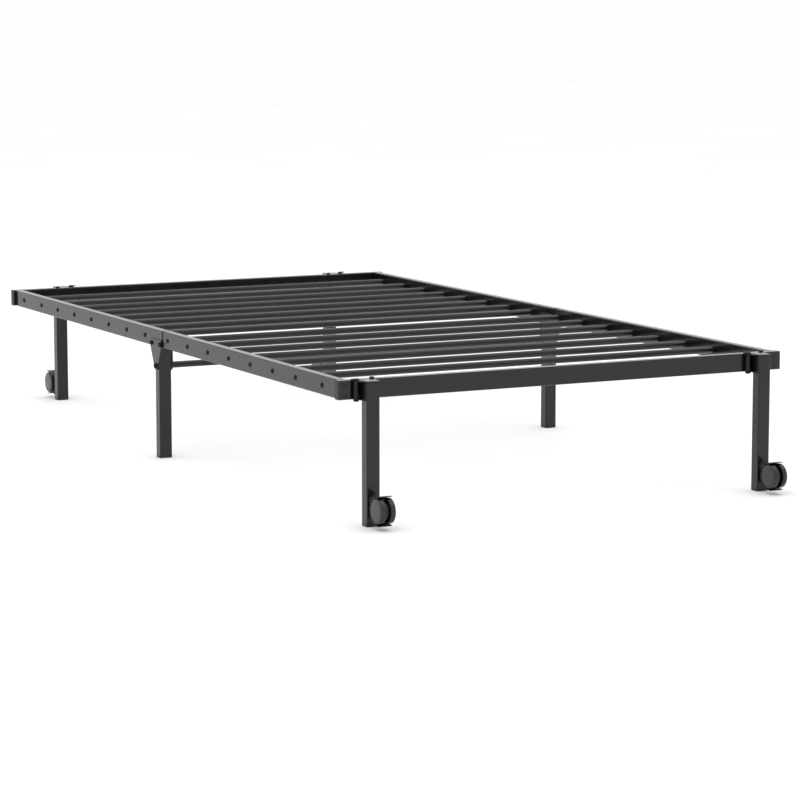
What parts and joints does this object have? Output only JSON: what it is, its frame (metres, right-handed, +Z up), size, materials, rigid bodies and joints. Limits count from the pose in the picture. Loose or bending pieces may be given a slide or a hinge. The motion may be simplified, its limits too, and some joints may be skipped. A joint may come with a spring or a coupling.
{
  "type": "folding metal bed frame",
  "caption": "Low rectangular bed frame of dark steel tube with round cross slats and box legs; folds in half on a middle crossbar and stands on end casters when folded.",
  "frame": {"origin": "on the floor under the middle of the bed, below the fold pivots", "axes": "+X across the bed to the right seen from the foot end, +Y along the bed from the foot end to the head end, +Z up"},
  "size_m": [1.0736, 2.173, 0.3037],
  "materials": {
    "powder_coat": "satin dark grey powder coat on steel tube",
    "black_hardware": "black zinc-plated and blackened steel bolts, hinge leaves and pins",
    "cap_plastic": "moulded black polyethylene caps and feet",
    "hood_plastic": "moulded black nylon caster hood",
    "wheel_plastic": "moulded dark grey nylon wheels, satin"
  },
  "bodies": {
    "mid_frame": {"mid_leg_left": "powder_coat", "mid_leg_right": "powder_coat", "mid_crossbar": "powder_coat", "pivot_bolts": "black_hardware", "mid_leg_feet": "cap_plastic"},
    "foot_half": {"foot_side_rail_left": "powder_coat", "foot_side_rail_right": "powder_coat", "foot_end_rail": "powder_coat", "foot_slat_1": "powder_coat", "foot_slat_2": "powder_coat", "foot_slat_3": "powder_coat", "foot_slat_4": "powder_coat", "foot_slat_5": "powder_coat", "foot_slat_6": "powder_coat", "foot_slat_7": "powder_coat", "foot_slat_8": "powder_coat", "foot_slat_bolts": "black_hardware", "foot_rail_plugs": "cap_plastic", "foot_left_lock_bolt": "black_hardware", "foot_right_lock_bolt": "black_hardware", "hinge_arm_left": "powder_coat", "hinge_arm_right": "powder_coat"},
    "head_half": {"head_side_rail_left": "powder_coat", "head_side_rail_right": "powder_coat", "head_end_rail": "powder_coat", "head_slat_1": "powder_coat", "head_slat_2": "powder_coat", "head_slat_3": "powder_coat", "head_slat_4": "powder_coat", "head_slat_5": "powder_coat", "head_slat_6": "powder_coat", "head_slat_7": "powder_coat", "head_slat_8": "powder_coat", "head_slat_bolts": "black_hardware", "head_rail_plugs": "cap_plastic", "head_left_lock_bolt": "black_hardware", "head_right_lock_bolt": "black_hardware", "gusset_left": "powder_coat", "gusset_right": "powder_coat", "gusset_bolts": "black_hardware"},
    "foot_left_leg_unit": {"foot_left_leg": "powder_coat", "foot_left_leg_hinge": "black_hardware", "foot_left_foot": "cap_plastic"},
    "foot_left_swivel": {"foot_left_caster_hood": "hood_plastic"},
    "foot_left_wheels": {"foot_left_caster_wheels": "wheel_plastic"},
    "foot_right_leg_unit": {"foot_right_leg": "powder_coat", "foot_right_leg_hinge": "black_hardware", "foot_right_foot": "cap_plastic"},
    "foot_right_swivel": {"foot_right_caster_hood": "hood_plastic"},
    "foot_right_wheels": {"foot_right_caster_wheels": "wheel_plastic"},
    "head_left_leg_unit": {"head_left_leg": "powder_coat", "head_left_leg_hinge": "black_hardware", "head_left_foot": "cap_plastic"},
    "head_left_swivel": {"head_left_caster_hood": "hood_plastic"},
    "head_left_wheels": {"head_left_caster_wheels": "wheel_plastic"},
    "head_right_leg_unit": {"head_right_leg": "powder_coat", "head_right_leg_hinge": "black_hardware", "head_right_foot": "cap_plastic"},
    "head_right_swivel": {"head_right_caster_hood": "hood_plastic"},
    "head_right_wheels": {"head_right_caster_wheels": "wheel_plastic"}
  },
  "joints": [
    {"name": "fold_foot", "type": "hinge", "parent": "mid_frame", "child": "foot_half", "pos_m": [0, 0, 0.216], "axis": [1, 0, 0], "range_deg": [0, 90]},
    {"name": "fold_head", "type": "hinge", "parent": "mid_frame", "child": "head_half", "pos_m": [0, 0, 0.216], "axis": [-1, 0, 0], "range_deg": [0, 90]},
    {"name": "foot_left_leg_swing", "type": "hinge", "parent": "foot_half", "child": "foot_left_leg_unit", "pos_m": [-0.4985, -0.9885, 0.28], "axis": [0, 0, -1], "range_deg": [0, 45]},
    {"name": "foot_left_caster_swivel", "type": "hinge", "parent": "foot_left_leg_unit", "child": "foot_left_swivel", "pos_m": [-0.473, -1.016, 0.056], "axis": [0, 1, 0], "continuous": true},
    {"name": "foot_left_wheel_spin", "type": "hinge", "parent": "foot_left_swivel", "child": "foot_left_wheels", "pos_m": [-0.473, -1.06, 0.04], "axis": [1, 0, 0], "continuous": true},
    {"name": "foot_right_leg_swing", "type": "hinge", "parent": "foot_half", "child": "foot_right_leg_unit", "pos_m": [0.4475, -0.9885, 0.28], "axis": [0, 0, -1], "range_deg": [0, 45]},
    {"name": "foot_right_caster_swivel", "type": "hinge", "parent": "foot_right_leg_unit", "child": "foot_right_swivel", "pos_m": [0.473, -1.016, 0.056], "axis": [0, 1, 0], "continuous": true},
    {"name": "foot_right_wheel_spin", "type": "hinge", "parent": "foot_right_swivel", "child": "foot_right_wheels", "pos_m": [0.473, -1.06, 0.04], "axis": [1, 0, 0], "continuous": true},
    {"name": "head_left_leg_swing", "type": "hinge", "parent": "head_half", "child": "head_left_leg_unit", "pos_m": [-0.3665, 0.9885, 0.28], "axis": [0, 0, -1], "range_deg": [0, 45]},
    {"name": "head_left_caster_swivel", "type": "hinge", "parent": "head_left_leg_unit", "child": "head_left_swivel", "pos_m": [-0.392, 1.016, 0.056], "axis": [0, 1, 0], "continuous": true},
    {"name": "head_left_wheel_spin", "type": "hinge", "parent": "head_left_swivel", "child": "head_left_wheels", "pos_m": [-0.392, 1.06, 0.04], "axis": [1, 0, 0], "continuous": true},
    {"name": "head_right_leg_swing", "type": "hinge", "parent": "head_half", "child": "head_right_leg_unit", "pos_m": [0.4175, 0.9885, 0.28], "axis": [0, 0, -1], "range_deg": [0, 45]},
    {"name": "head_right_caster_swivel", "type": "hinge", "parent": "head_right_leg_unit", "child": "head_right_swivel", "pos_m": [0.392, 1.016, 0.056], "axis": [0, 1, 0], "continuous": true},
    {"name": "head_right_wheel_spin", "type": "hinge", "parent": "head_right_swivel", "child": "head_right_wheels", "pos_m": [0.392, 1.06, 0.04], "axis": [1, 0, 0], "continuous": true}
  ],
  "couplings": [
    {"joint": "fold_head", "follows": "fold_foot", "ratio": 1}
  ]
}
